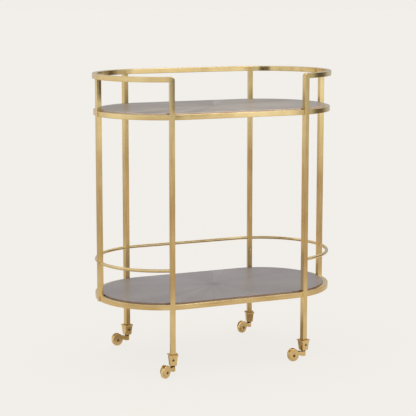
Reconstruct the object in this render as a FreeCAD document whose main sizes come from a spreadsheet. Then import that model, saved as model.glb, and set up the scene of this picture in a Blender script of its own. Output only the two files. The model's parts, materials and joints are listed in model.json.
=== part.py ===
"""Two-tier oval serving trolley: square brass tube frame, two veneered shelf panels, four swivel castors.

The frame follows a racetrack outline: two straight runs along X joined by half circles. Six square posts
stand on that outline, one at each end of the oval and four just past the straights. The four carry
castors. Shelf rings, a guard rod and the top rail run between the posts. Rail and rod leave the front
(-Y) open. The origin is on the floor under the middle of the trolley, +Z is up, lengths are millimetres.
"""

import FreeCAD, Part
import math
import os

import Sketcher
from FreeCAD import Placement, Rotation, Vector

# alias, value, meaning: millimetres, and degrees where the alias ends in "angle"
DIMENSIONS = [
    ("overall_height", 860, "floor to the top of the rail"),
    ("half_straight", 166.5, "half the length of each straight run"),
    ("post_path_radius", 196, "radius of the line through the posts"),
    ("ring_path_radius", 193, "radius of the middle line of the shelf rings"),
    ("leg_arc_angle", 13.1, "how far past the straight a leg stands"),
    ("tube_size", 15, "outer side of the square tube"),
    ("tube_wall", 1.2, "wall of the square tube"),
    ("lower_ring_bottom", 194, "height of the lower ring's underside"),
    ("upper_ring_bottom", 738.6, "height of the upper ring's underside"),
    ("rail_corner_radius", 9, "rounding where the rail turns down into a front post"),
    ("guard_height", 308, "height of the guard rod's middle"),
    ("guard_diameter", 9.5, "guard rod"),
    ("panel_thickness", 12, "shelf panel"),
    ("panel_proud", 3.8, "panel top above the ring"),
    ("panel_gap", 0.5, "panel edge to ring"),
    ("panel_edge_radius", 0.8, "rounding of the panel's top edge"),
    ("tab_width", 20, "shelf tab along the ring"),
    ("tab_depth", 17, "shelf tab inwards from the ring"),
    ("tab_thickness", 2, "shelf tab"),
    ("tab_gap", 0.3, "weld gap between tab and ring"),
    ("tab_offset", 105, "side tabs from the middle of the straight"),
    ("tab_hole_radius", 2.2, "clearance hole in a shelf tab"),
    ("screw_radius", 1.75, "shank of every screw"),
    ("shelf_screw_head_radius", 3.8, "shelf screw head"),
    ("shelf_screw_head", 2.4, "shelf screw head height"),
    ("shelf_screw_length", 9.5, "shelf screw under the head"),
    ("pilot_radius", 1.8, "pilot hole for a screw"),
    ("pilot_depth", 9, "pilot hole in a panel"),
    ("wheel_radius", 17.5, "castor wheel"),
    ("wheel_half_width", 5.1, "castor wheel"),
    ("wheel_edge_radius", 2.2, "rounding of the tread's edges"),
    ("wheel_rim_inner", 12, "inner radius of the wheel's rim"),
    ("wheel_hub_radius", 5.5, "hub boss of the wheel"),
    ("wheel_web_half", 3.4, "half thickness of the dished web"),
    ("wheel_dish_slope", 1.2, "run of the slopes beside the web"),
    ("axle_radius", 2.5, "axle shank"),
    ("axle_head_radius", 4.2, "riveted axle head"),
    ("axle_head", 1.6, "height of an axle head"),
    ("running_gap", 0.05, "radial clearance of shafts in bores"),
    ("castor_trail", 34, "swivel axis to axle"),
    ("fork_bottom", 14, "underside of the fork's block"),
    ("fork_top", 28.2, "top of the fork's block"),
    ("fork_block_radius", 7, "fork's block about the swivel axis"),
    ("fork_half_width", 7.6, "outer faces of the cheeks"),
    ("fork_slot_half", 5.6, "inner faces of the cheeks"),
    ("fork_slot_start", 11.5, "where the wheel slot begins"),
    ("fork_neck_bottom", 18, "underside of the arms where they meet the cheeks"),
    ("cheek_radius", 16.2, "round cheek that covers each side of the wheel"),
    ("cheek_height", 22.3, "height of the cheeks' middle, a little above the axle"),
    ("cheek_edge_radius", 1, "rounding of the cheeks' outer edges"),
    ("swivel_radius", 3, "swivel pin shank"),
    ("swivel_head_radius", 4.5, "lower head of the swivel pin"),
    ("swivel_top_radius", 5, "upper head of the swivel pin"),
    ("swivel_head", 1.8, "height of a swivel pin head"),
    ("swivel_recess", 0.6, "lower head above the fork's underside"),
    ("swivel_play", 0.2, "end play of the swivel"),
    ("washer_radius", 6.5, "swivel washer"),
    ("cup_bottom", 32, "underside of the castor cup"),
    ("cup_floor", 3, "floor of the cup"),
    ("cup_height", 31.5, "castor cup"),
    ("cup_lip", 6, "depth of the flared lip"),
    ("cup_rim", 1, "flat band at the lip's top"),
    ("cup_side_bottom", 20, "outer side at the bottom"),
    ("cup_side_neck", 24.6, "outer side under the lip"),
    ("cup_side_top", 29, "outer side of the lip"),
    ("cup_corner", 1.6, "rounding of the cup's upright edges"),
    ("cup_wall", 2.3, "wall of the cup"),
    ("cup_screw_height", 48, "castor screw above the floor"),
    ("cup_screw_reach", 11.4, "screw head's face from the leg's middle"),
    ("cup_screw_head_radius", 3.6, "castor screw head"),
    ("cup_screw_cone", 2, "depth of the countersink"),
    ("cup_screw_end", 4.5, "screw tip from the leg's middle"),
    ("screw_slot", 1.1, "width of the cross in a screw head"),
    ("screw_slot_depth", 0.9, "depth of that cross"),
    ("front_left_trail_angle", 210, "direction in which a castor trails at rest"),
    ("front_right_trail_angle", 179, "direction in which a castor trails at rest"),
    ("rear_left_trail_angle", 184, "direction in which a castor trails at rest"),
    ("rear_right_trail_angle", 203, "direction in which a castor trails at rest"),
]

UP = Vector(0, 0, 1)
QUARTER_TURN = math.pi / 2
ORIGIN_POINT = (-1, 1)
HORIZONTAL_AXIS = -1
VERTICAL_AXIS = -2

doc = FreeCAD.newDocument("oval_trolley")
parts = []


# ---- driving dimensions ------------------------------------------------------------------------


def make_sheet():
    """The spreadsheet that every size is read from."""
    sheet = doc.addObject("Spreadsheet::Sheet", "dims")
    for row, (alias, number, meaning) in enumerate(DIMENSIONS, start=1):
        sheet.set(f"A{row}", meaning)
        sheet.set(f"B{row}", str(number))
        sheet.setAlias(f"B{row}", alias)
    doc.recompute()
    return sheet


dims = make_sheet()


def number(expression):
    """Value of an expression on the sheet's cells."""
    return float(dims.evalExpression(expression.replace("dims.", "")))


# ---- bodies, sketches and features -------------------------------------------------------------


def new_body(label):
    body = doc.addObject("PartDesign::Body", label)
    body.Label = label
    return body


def keep(obj):
    """Mark a finished sub-part: it is written to a file named after its label."""
    parts.append(obj)
    return obj


def place(obj, x="0", y="0", z="0", turn=0.0):
    """Stand a sub-part at a point given by expressions, turned about Z by a number of degrees."""
    obj.Placement = Placement(Vector(number(x), number(y), number(z)), Rotation(UP, turn))
    for axis, expression in zip("xyz", (x, y, z)):
        if expression != "0":
            obj.setExpression(f"Placement.Base.{axis}", expression)


def new_sketch(body, name, role="XY_Plane", lift=None, across=None, turn=0.0):
    """Sketch on an origin plane, moved along its normal or its own x, and turned about its normal."""
    sketch = body.newObject("Sketcher::SketchObject", f"{body.Name}_{name}")
    plane = next(item for item in body.Origin.OriginFeatures if item.Role == role)
    sketch.AttachmentSupport = [(plane, "")]
    sketch.MapMode = "FlatFace"
    sketch.AttachmentOffset = Placement(Vector(), Rotation(UP, turn))
    if lift:
        sketch.setExpression("AttachmentOffset.Base.z", lift)
    if across:
        sketch.setExpression("AttachmentOffset.Base.x", across)
    return sketch


def bind(sketch, kind, elements, expression):
    """Add a driving constraint whose value is an expression on the sheet."""
    index = sketch.addConstraint(Sketcher.Constraint(kind, *elements, number(expression)))
    sketch.setExpression(f"Constraints[{index}]", expression)


def bind_point(sketch, point, x, y):
    """Fix a point at (x, y) from the sketch's origin, each coordinate an expression."""
    for kind, axis, expression in (("DistanceX", VERTICAL_AXIS, x), ("DistanceY", HORIZONTAL_AXIS, y)):
        if expression == "0":
            sketch.addConstraint(Sketcher.Constraint("PointOnObject", *point, axis))
        else:
            bind(sketch, kind, (*ORIGIN_POINT, *point), expression)


def polygon(sketch, corners):
    """Closed outline with straight sides through corners given as pairs of expressions."""
    first = sketch.GeometryCount
    points = [Vector(number(x), number(y), 0) for x, y in corners]
    count = len(points)
    for start, end in zip(points, points[1:] + points[:1]):
        sketch.addGeometry(Part.LineSegment(start, end), False)
    for i in range(count):
        joint = Sketcher.Constraint("Coincident", first + i, 2, first + (i + 1) % count, 1)
        sketch.addConstraint(joint)
    for i, (x, y) in enumerate(corners):
        bind_point(sketch, (first + i, 1), x, y)


def rectangle(sketch, middle, half_x, half_y):
    """Rectangle about a point on the sketch's x axis."""
    left, right = f"{middle} - {half_x}", f"{middle} + {half_x}"
    low, high = f"-({half_y})", half_y
    polygon(sketch, [(left, low), (right, low), (right, high), (left, high)])


def circle(sketch, radius, x="0", y="0"):
    centre = Vector(number(x), number(y), 0)
    index = sketch.addGeometry(Part.Circle(centre, UP, number(radius)), False)
    bind_point(sketch, (index, 3), x, y)
    bind(sketch, "Radius", (index,), radius)


def rounded_square(sketch, side, corner):
    """Square about the origin with rounded corners: four sides and four quarter arcs."""
    half, radius = number(side) / 2, number(corner)
    inner = half - radius
    first = sketch.GeometryCount
    for i in range(4):
        spin = Rotation(UP, 90 * i)
        start = spin.multVec(Vector(-inner, -half, 0))
        end = spin.multVec(Vector(inner, -half, 0))
        centre = spin.multVec(Vector(inner, -inner, 0))
        low, high = (i - 1) * QUARTER_TURN, i * QUARTER_TURN
        sketch.addGeometry(Part.LineSegment(start, end), False)
        sketch.addGeometry(Part.ArcOfCircle(Part.Circle(centre, UP, radius), low, high), False)
    for i in range(4):
        line, arc = first + 2 * i, first + 2 * i + 1
        following = first + (2 * i + 2) % 8
        sketch.addConstraint(Sketcher.Constraint("Tangent", line, 2, arc, 1))
        sketch.addConstraint(Sketcher.Constraint("Tangent", arc, 2, following, 1))
        sketch.addConstraint(Sketcher.Constraint("Vertical" if i % 2 else "Horizontal", line))
        if i:
            sketch.addConstraint(Sketcher.Constraint("Equal", first + 1, arc))
    sketch.addConstraint(Sketcher.Constraint("Symmetric", first + 1, 3, first + 5, 3, *ORIGIN_POINT))
    bind(sketch, "Radius", (first + 1,), corner)
    bind(sketch, "DistanceX", (first + 6, 1, first + 2, 1), side)
    bind(sketch, "DistanceY", (first, 1, first + 4, 1), side)


def racetrack(sketch, half_straight, radius):
    """Two straights joined by half circles, long along x, about the sketch's origin."""
    reach, r = number(half_straight), number(radius)
    right = Part.Circle(Vector(reach, 0, 0), UP, r)
    left = Part.Circle(Vector(-reach, 0, 0), UP, r)
    sketch.addGeometry(Part.LineSegment(Vector(-reach, -r, 0), Vector(reach, -r, 0)), False)
    sketch.addGeometry(Part.ArcOfCircle(right, -QUARTER_TURN, QUARTER_TURN), False)
    sketch.addGeometry(Part.LineSegment(Vector(reach, r, 0), Vector(-reach, r, 0)), False)
    sketch.addGeometry(Part.ArcOfCircle(left, QUARTER_TURN, 3 * QUARTER_TURN), False)
    for i in range(4):
        sketch.addConstraint(Sketcher.Constraint("Tangent", i, 2, (i + 1) % 4, 1))
    sketch.addConstraint(Sketcher.Constraint("Equal", 1, 3))
    bind_point(sketch, (1, 3), half_straight, "0")
    bind_point(sketch, (3, 3), f"-{half_straight}", "0")
    bind(sketch, "Radius", (1,), radius)


def feature(body, kind, sketch):
    added = body.newObject(f"PartDesign::{kind}", f"{sketch.Name}_{kind.lower()}")
    added.Profile = sketch
    sketch.Visibility = False
    return added


def pad(body, sketch, length, both_ways=False, backwards=False):
    added = feature(body, "Pad", sketch)
    added.setExpression("Length", length)
    added.SideType = "Symmetric" if both_ways else "One side"
    added.Reversed = backwards
    doc.recompute()
    return added


def checked_cut(body, cut, before):
    """Recompute after a cut and make sure that it removed material."""
    doc.recompute()
    if not cut.Shape.Volume < before - 1e-3:
        raise RuntimeError(f"{cut.Name} in {body.Label} cuts nothing")
    return cut


def pocket(body, sketch, length, both_ways=False, backwards=False):
    before = body.Shape.Volume
    cut = feature(body, "Pocket", sketch)
    cut.setExpression("Length", length)
    cut.SideType = "Symmetric" if both_ways else "One side"
    cut.Reversed = backwards
    return checked_cut(body, cut, before)


def revolve(body, sketch, angle="360", both_ways=False, backwards=False):
    """Turn a profile about its sketch's upright axis."""
    added = feature(body, "Revolution", sketch)
    added.ReferenceAxis = (sketch, ["V_Axis"])
    added.setExpression("Angle", angle)
    added.Midplane = both_ways
    added.Reversed = backwards
    doc.recompute()
    return added


def groove(body, sketch):
    """Cut a full turn of a profile about its sketch's upright axis."""
    before = body.Shape.Volume
    cut = feature(body, "Groove", sketch)
    cut.ReferenceAxis = (sketch, ["V_Axis"])
    cut.Angle = 360
    return checked_cut(body, cut, before)


def loft(body, kind, sketches):
    added = feature(body, kind, sketches[0])
    added.Sections = sketches[1:]
    added.Ruled = True
    doc.recompute()
    return added


def fillet(body, radius, chosen):
    """Round the edges of the body's tip that pass the test."""
    base = body.Tip
    names = [f"Edge{i}" for i, edge in enumerate(base.Shape.Edges, start=1) if chosen(edge)]
    if not names:
        raise RuntimeError(f"no edge to round in {body.Label}")
    added = body.newObject("PartDesign::Fillet", f"{body.Name}_fillet")
    added.Base = (base, names)
    added.setExpression("Radius", radius)
    doc.recompute()
    return added


def turned(label, profile, role="XZ_Plane"):
    """Body turned from a profile of (radius, distance along the axis) pairs."""
    body = new_body(label)
    sketch = new_sketch(body, "profile", role)
    polygon(sketch, profile)
    revolve(body, sketch)
    return body


# ---- where the posts stand ---------------------------------------------------------------------

POST_TURN = number("dims.leg_arc_angle")
# name of the corner, sign of its x, turn that faces local -Y outwards
CORNERS = {
    "front_left": (-1, -POST_TURN),
    "front_right": (1, POST_TURN),
    "rear_left": (-1, 180 + POST_TURN),
    "rear_right": (1, 180 - POST_TURN),
}
# the cup on this leg was put on with its screw facing inwards
SCREW_FACES_IN = "rear_left"


def corner_xy(corner):
    """Expressions for the middle of a leg."""
    side = CORNERS[corner][0]
    x = f"{side} * (dims.half_straight + dims.post_path_radius * sin(dims.leg_arc_angle * 1 deg))"
    sign = "-1" if corner.startswith("front") else "1"
    return x, f"{sign} * dims.post_path_radius * cos(dims.leg_arc_angle * 1 deg)"


def cup_turn(corner):
    """Turn of the cup, and of the leg's screw hole with it."""
    return CORNERS[corner][1] + (180 if corner == SCREW_FACES_IN else 0)


# ---- frame -------------------------------------------------------------------------------------


def square_tube(sketch, middle):
    """Section of the square tube, on the sketch's x axis."""
    rectangle(sketch, middle, "dims.tube_size / 2", "dims.tube_size / 2")
    inner = "(dims.tube_size / 2 - dims.tube_wall)"
    rectangle(sketch, middle, inner, inner)


def round_rod(sketch, middle):
    circle(sketch, "dims.guard_diameter / 2", middle)


def post(label, bottom):
    """Upright tube from a height to the underside of the rail."""
    body = new_body(label)
    sketch = new_sketch(body, "section")
    square_tube(sketch, "0")
    pad(body, sketch, f"dims.overall_height - dims.tube_size - ({bottom})")
    return body


def leg_post(corner):
    """Post that goes down into a castor cup, with a hole for the cup's screw."""
    leg_bottom = "dims.cup_bottom + dims.cup_floor"
    body = post(f"{corner}_post", leg_bottom)
    hole = new_sketch(body, "screw_hole", "XZ_Plane")
    circle(hole, "dims.pilot_radius", "0", f"dims.cup_screw_height - ({leg_bottom})")
    pocket(body, hole, "dims.tube_size", backwards=True)
    x, y = corner_xy(corner)
    place(body, x, y, leg_bottom, cup_turn(corner))
    keep(body)


def end_post(side):
    """Post at an end of the oval: it stops at the lower ring, closed by a plate."""
    body = post({-1: "left_end_post", 1: "right_end_post"}[side], "dims.lower_ring_bottom")
    plate = new_sketch(body, "end_plate")
    rectangle(plate, "0", "dims.tube_size / 2", "dims.tube_size / 2")
    pad(body, plate, "dims.tube_wall")
    x = f"{side} * (dims.half_straight + dims.post_path_radius)"
    place(body, x, "0", "dims.lower_ring_bottom")
    keep(body)


def cut_post_gap(body, centre_x, turn):
    """Cope a run square to a post's side, where the post stands at a turn about an arc's centre."""
    gap = new_sketch(body, "post_gap", across=centre_x, turn=turn)
    rectangle(gap, "dims.post_path_radius", "1.5 * dims.tube_size", "dims.tube_size / 2")
    pocket(body, gap, "2 * dims.tube_size", both_ways=True)


def end_arc(label, section, radius, sweep):
    """Run bent about the local origin, half of its sweep to each side of +X."""
    body = new_body(label)
    sketch = new_sketch(body, "section", "XZ_Plane")
    section(sketch, radius)
    revolve(body, sketch, sweep, both_ways=True)
    return body


def long_run(label, section, radius):
    """Run along a straight side at local -Y, with its bent ends up to the legs' middles."""
    body = new_body(label)
    straight = new_sketch(body, "section", "YZ_Plane")
    section(straight, f"-{radius}")
    pad(body, straight, "2 * dims.half_straight", both_ways=True)
    for side in (-1, 1):
        bend = new_sketch(body, "bend", "YZ_Plane", lift=f"{side} * dims.half_straight")
        section(bend, f"-{radius}")
        revolve(body, bend, "dims.leg_arc_angle", backwards=side < 0)
    return body


def arc_between_posts(label, section, radius, x_side, y_side, height):
    """Quarter of a ring or of the guard rod, from an end post to a leg."""
    sweep = "90 - dims.leg_arc_angle"
    body = end_arc(label, section, radius, sweep)
    for turn in (-number(sweep) / 2, number(sweep) / 2):
        cut_post_gap(body, None, turn)
    heading = number(sweep) / 2 if y_side > 0 else 360 - number(sweep) / 2
    if x_side < 0:
        heading = 180 - heading
    place(body, f"{x_side} * dims.half_straight", "0", height, heading)
    keep(body)


def run_between_legs(label, section, radius, y_side, height):
    """Front or rear run of a ring or of the guard rod, from leg to leg."""
    body = long_run(label, section, radius)
    for side in (-1, 1):
        turn = side * (POST_TURN - 90) - (180 if side < 0 else 0)
        cut_post_gap(body, f"{side} * dims.half_straight", turn)
    place(body, "0", "0", height, 0 if y_side < 0 else 180)
    keep(body)


def shelf_ring(level):
    """Six tubes that close the oval between the posts."""
    height = f"dims.{level}_ring_bottom + dims.tube_size / 2"
    radius = "dims.ring_path_radius"
    run_between_legs(f"{level}_ring_front", square_tube, radius, -1, height)
    run_between_legs(f"{level}_ring_rear", square_tube, radius, 1, height)
    for corner, (x_side, _) in CORNERS.items():
        y_side = -1 if corner.startswith("front") else 1
        arc_between_posts(f"{level}_ring_{corner}", square_tube, radius, x_side, y_side, height)


def guard_rod():
    """Round rod above the lower shelf, open at the front."""
    radius = "dims.post_path_radius"
    run_between_legs("guard_rod_rear", round_rod, radius, 1, "dims.guard_height")
    for corner, (x_side, _) in CORNERS.items():
        y_side = -1 if corner.startswith("front") else 1
        label = f"guard_rod_{corner}"
        arc_between_posts(label, round_rod, radius, x_side, y_side, "dims.guard_height")


def rail_hoop(side):
    """End of the top rail, from a rear leg round to the rounded corner on a front leg."""
    label = {-1: "top_rail_left", 1: "top_rail_right"}[side]
    radius = "dims.post_path_radius"
    sweep = "180 - 2 * dims.leg_arc_angle"
    body = end_arc(label, square_tube, radius, sweep)
    front_turn = -side * number(sweep) / 2
    cut_post_gap(body, None, front_turn)
    block = new_sketch(body, "corner_block", turn=front_turn)
    rectangle(block, radius, "dims.tube_size / 2", "dims.tube_size / 2")
    pad(body, block, "dims.tube_size", both_ways=True)
    half = number("dims.tube_size / 2")
    end_edge = Rotation(UP, front_turn).multVec(Vector(number(radius), -side * half, half))
    fillet(body, "dims.rail_corner_radius", lambda edge: edge.CenterOfMass.distanceToPoint(end_edge) < 0.5)
    height = "dims.overall_height - dims.tube_size / 2"
    place(body, f"{side} * dims.half_straight", "0", height, 0 if side > 0 else 180)
    keep(body)


def rail_rear():
    """Straight back of the top rail, between the rear legs."""
    body = long_run("top_rail_rear", square_tube, "dims.post_path_radius")
    place(body, "0", "0", "dims.overall_height - dims.tube_size / 2", 180)
    keep(body)


# ---- shelves -----------------------------------------------------------------------------------

RING_INNER = "(dims.ring_path_radius - dims.tube_size / 2)"
TAB_MIDDLE = f"({RING_INNER} - dims.tab_gap - dims.tab_depth / 2)"
# x and y expressions of each tab's screw, and whether the tab lies along x
TAB_PLACES = []
for side in (-1, 1):
    TAB_PLACES += [(f"{side} * dims.tab_offset", f"{face} * {TAB_MIDDLE}", True) for face in (-1, 1)]
TAB_PLACES += [(f"{side} * (dims.half_straight + {TAB_MIDDLE})", "0", False) for side in (-1, 1)]


def shelf_panel(level):
    """Board that drops into the ring and stands a little proud of it."""
    body = new_body(f"{level}_shelf_panel")
    outline = new_sketch(body, "outline")
    racetrack(outline, "dims.half_straight", f"{RING_INNER} - dims.panel_gap")
    pad(body, outline, "dims.panel_thickness")
    holes = new_sketch(body, "pilot_holes")
    for x, y, _ in TAB_PLACES:
        circle(holes, "dims.pilot_radius", x, y)
    pocket(body, holes, "dims.pilot_depth", backwards=True)
    top = number("dims.panel_thickness")
    fillet(body, "dims.panel_edge_radius", lambda edge: edge.BoundBox.ZMin > top - 0.01)
    height = f"dims.{level}_ring_bottom + dims.tube_size + dims.panel_proud - dims.panel_thickness"
    place(body, "0", "0", height)
    keep(body)


def group(label, members):
    """Identical pieces that share one node."""
    compound = doc.addObject("Part::Compound", label)
    compound.Label = label
    compound.Links = members
    keep(compound)


def shelf_tabs(level):
    """Six drilled plates welded inside the ring, under the panel."""
    underside = f"dims.{level}_ring_bottom + dims.tube_size + dims.panel_proud - dims.panel_thickness"
    tabs = []
    for i, (x, y, along_x) in enumerate(TAB_PLACES):
        long_side, short_side = "dims.tab_width / 2", "dims.tab_depth / 2"
        if not along_x:
            long_side, short_side = short_side, long_side
        tab = new_body(f"{level}_tab_{i + 1}")
        outline = new_sketch(tab, "outline")
        rectangle(outline, "0", long_side, short_side)
        circle(outline, "dims.tab_hole_radius")
        pad(tab, outline, "dims.tab_thickness")
        place(tab, x, y, f"{underside} - dims.tab_thickness")
        tabs.append(tab)
    group(f"{level}_shelf_tabs", tabs)


def shelf_screws(level):
    """Six pan-head screws, driven up through the tabs into the panel."""
    head, shank = "dims.shelf_screw_head_radius", "dims.screw_radius"
    profile = [
        ("0", "-dims.shelf_screw_head"),
        (f"{head} - dims.shelf_screw_head / 3", "-dims.shelf_screw_head"),
        (head, "-dims.shelf_screw_head / 2"),
        (head, "0"),
        (shank, "0"),
        (shank, f"dims.shelf_screw_length - {shank}"),
        ("0", "dims.shelf_screw_length"),
    ]
    seat = f"dims.{level}_ring_bottom + dims.tube_size + dims.panel_proud - dims.panel_thickness"
    screws = []
    for i, (x, y, _) in enumerate(TAB_PLACES):
        screw = turned(f"{level}_screw_{i + 1}", profile)
        place(screw, x, y, f"{seat} - dims.tab_thickness")
        screws.append(screw)
    group(f"{level}_shelf_screws", screws)


# ---- castors -----------------------------------------------------------------------------------


def castor_cup(corner):
    """Flared square cup on the foot of a leg. Its local Z is the row's height above the cup's underside."""
    body = new_body(f"{corner}_castor_cup")
    neck = "dims.cup_height - dims.cup_lip"
    lip_top = "dims.cup_height - dims.cup_rim"
    rim_inner = "dims.cup_side_top - 2 * dims.cup_wall"

    def section(name, height, side, round_over):
        sketch = new_sketch(body, name, lift=height)
        rounded_square(sketch, side, round_over)
        return sketch

    corner_radius = "dims.cup_corner"
    outside = [
        section("foot", "0", "dims.cup_side_bottom", corner_radius),
        section("neck", neck, "dims.cup_side_neck", corner_radius),
        section("lip", lip_top, "dims.cup_side_top", corner_radius),
        section("rim", "dims.cup_height", "dims.cup_side_top", corner_radius),
    ]
    loft(body, "AdditiveLoft", outside)
    before = body.Shape.Volume
    inner_radius = "dims.cup_corner / 4"
    leg_side = "dims.tube_size + 4 * dims.running_gap"
    inside = [
        section("seat", "dims.cup_floor", leg_side, inner_radius),
        section("inner_neck", neck, "dims.cup_side_neck - 2 * dims.cup_wall", inner_radius),
        section("mouth", "dims.cup_height", rim_inner, inner_radius),
    ]
    hollow = loft(body, "SubtractiveLoft", inside)
    checked_cut(body, hollow, before)
    bore = new_sketch(body, "swivel_bore")
    circle(bore, "dims.swivel_radius + dims.running_gap")
    pocket(body, bore, "dims.cup_floor", backwards=True)
    screw_height = "(dims.cup_screw_height - dims.cup_bottom)"
    hole = new_sketch(body, "screw_hole", "XZ_Plane")
    circle(hole, "dims.pilot_radius + 2 * dims.running_gap", "0", screw_height)
    pocket(body, hole, "dims.cup_side_top", backwards=True)
    sink_countersink(body, screw_height)
    x, y = corner_xy(corner)
    place(body, x, y, "dims.cup_bottom", cup_turn(corner))
    keep(body)


def sink_countersink(body, screw_height):
    """Conical recess for the screw head, on the side that faces local -Y."""
    sketch = new_sketch(body, "countersink", "XY_Plane", lift=screw_height)
    face = "-dims.cup_screw_reach"
    gap = "2 * dims.running_gap"
    wide = f"dims.cup_screw_head_radius + {gap}"
    narrow = f"dims.screw_radius + {gap}"
    corners = [
        ("0", f"{face} - dims.cup_screw_cone"),
        (wide, f"{face} - dims.cup_screw_cone"),
        (wide, face),
        (narrow, f"{face} + dims.cup_screw_cone"),
        ("0", f"{face} + dims.cup_screw_cone"),
    ]
    polygon(sketch, corners)
    groove(body, sketch)


def castor_screw(corner):
    """Countersunk cross-head screw through a cup into the leg. Its head faces local -Y."""
    shank, head = "dims.screw_radius", "dims.cup_screw_head_radius"
    profile = [
        ("0", "-dims.cup_screw_reach"),
        (head, "-dims.cup_screw_reach"),
        (shank, "-dims.cup_screw_reach + dims.cup_screw_cone"),
        (shank, f"-dims.cup_screw_end - {shank}"),
        ("0", "-dims.cup_screw_end"),
    ]
    body = turned(f"{corner}_castor_screw", profile, "XY_Plane")
    cross = new_sketch(body, "cross", "XZ_Plane", lift="dims.cup_screw_reach")
    reach, half = "dims.cup_screw_head_radius * 0.62", "dims.screw_slot / 2"
    back = f"-({reach})"
    notch = f"-({half})"
    corners = [
        (back, notch), (notch, notch), (notch, back), (half, back), (half, notch), (reach, notch),
        (reach, half), (half, half), (half, reach), (notch, reach), (notch, half), (back, half)
    ]
    polygon(cross, corners)
    pocket(body, cross, "dims.screw_slot_depth")
    x, y = corner_xy(corner)
    place(body, x, y, "dims.cup_screw_height", cup_turn(corner))
    return body


def castor_pin(corner):
    """Swivel pin, riveted over inside the cup and in the fork's counterbore."""
    bottom = "dims.fork_bottom + dims.swivel_recess"
    shoulder = f"{bottom} + dims.swivel_head"
    floor = "dims.cup_bottom + dims.cup_floor"
    profile = [
        ("0", bottom),
        ("dims.swivel_head_radius", bottom),
        ("dims.swivel_head_radius", shoulder),
        ("dims.swivel_radius", shoulder),
        ("dims.swivel_radius", floor),
        ("dims.swivel_top_radius", floor),
        ("dims.swivel_top_radius", f"{floor} + dims.swivel_head"),
        ("0", f"{floor} + dims.swivel_head"),
    ]
    body = turned(f"{corner}_castor_pin", profile)
    place(body, *corner_xy(corner))
    keep(body)


def castor_washer(corner):
    """Dark thrust washer between cup and fork."""
    inner = "dims.swivel_radius + 2 * dims.running_gap"
    low = "dims.fork_top + dims.swivel_play"
    profile = [
        (inner, low),
        ("dims.washer_radius", low),
        ("dims.washer_radius", "dims.cup_bottom"),
        (inner, "dims.cup_bottom"),
    ]
    body = turned(f"{corner}_castor_washer", profile)
    place(body, *corner_xy(corner))
    keep(body)


def castor_fork(corner):
    """Fork that swivels on the pin. Its round cheeks reach along local +X, each side of the wheel."""
    body = new_body(f"{corner}_castor_fork")
    block = new_sketch(body, "block", lift="dims.fork_bottom")
    circle(block, "dims.fork_block_radius")
    pad(body, block, "dims.fork_top - dims.fork_bottom")
    side = new_sketch(body, "side", "XZ_Plane")
    corners = [
        ("0", "dims.fork_bottom"),
        ("dims.fork_block_radius", "dims.fork_bottom"),
        ("dims.fork_slot_start + dims.fork_slot_half", "dims.fork_neck_bottom"),
        ("dims.castor_trail", "dims.fork_neck_bottom"),
        ("dims.castor_trail", "dims.fork_top"),
        ("0", "dims.fork_top"),
    ]
    polygon(side, corners)
    pad(body, side, "2 * dims.fork_half_width", both_ways=True)
    cheek = new_sketch(body, "cheek", "XZ_Plane")
    circle(cheek, "dims.cheek_radius", "dims.castor_trail", "dims.cheek_height")
    pad(body, cheek, "2 * dims.fork_half_width", both_ways=True)
    for sign in (-1, 1):
        flare_sides(body, sign)
    far = "dims.castor_trail + 2 * dims.cheek_radius"
    slot = new_sketch(body, "wheel_slot")
    corners = [
        ("dims.fork_slot_start", "-dims.fork_slot_half"),
        (far, "-dims.fork_slot_half"),
        (far, "dims.fork_slot_half"),
        ("dims.fork_slot_start", "dims.fork_slot_half"),
    ]
    polygon(slot, corners)
    pocket(body, slot, "8 * dims.wheel_radius", both_ways=True)
    outer = number("dims.fork_half_width")
    fillet(body, "dims.cheek_edge_radius", lambda edge: is_cheek_rim(edge, outer))
    bores(body)
    x, y = corner_xy(corner)
    place(body, x, y, "0", number(f"dims.{corner}_trail_angle"))
    keep(body)


def is_cheek_rim(edge, outer):
    """Edges round the outer face of a cheek, apart from the upright one at the flare."""
    low, high = edge.BoundBox.YMin, edge.BoundBox.YMax
    in_face = high - low < 0.01 and abs(abs(low) - outer) < 0.01
    return in_face and edge.BoundBox.XMax - edge.BoundBox.XMin > 0.01


def flare_sides(body, sign):
    """Narrow one side of the fork from the cheeks' width to the round block's."""
    sketch = new_sketch(body, "flare")
    outside = f"{sign} * 2 * dims.fork_half_width"
    corners = [
        ("0", f"{sign} * dims.fork_block_radius"),
        ("dims.fork_slot_start", f"{sign} * dims.fork_half_width"),
        ("dims.fork_slot_start", outside),
        ("-1", outside),
        ("-1", f"{sign} * dims.fork_block_radius"),
    ]
    polygon(sketch, corners)
    pocket(body, sketch, "8 * dims.wheel_radius", both_ways=True)


def bores(body):
    """Swivel bore with the counterbore for the pin's lower head, and the axle hole."""
    swivel = new_sketch(body, "swivel_bore")
    circle(swivel, "dims.swivel_radius + dims.running_gap")
    pocket(body, swivel, "dims.fork_top", backwards=True)
    recess = new_sketch(body, "pin_recess")
    circle(recess, "dims.swivel_head_radius + 10 * dims.running_gap")
    depth = "dims.fork_bottom + dims.swivel_recess + dims.swivel_head + dims.swivel_play"
    pocket(body, recess, depth, backwards=True)
    axle = new_sketch(body, "axle_hole", "XZ_Plane")
    circle(axle, "dims.axle_radius + dims.running_gap", "dims.castor_trail", "dims.wheel_radius")
    pocket(body, axle, "4 * dims.fork_half_width", both_ways=True)


def axle_xy(corner):
    """Expressions for the middle of a castor's axle."""
    x, y = corner_xy(corner)
    angle = f"(dims.{corner}_trail_angle * 1 deg)"
    return f"{x} + dims.castor_trail * cos{angle}", f"{y} + dims.castor_trail * sin{angle}"


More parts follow.
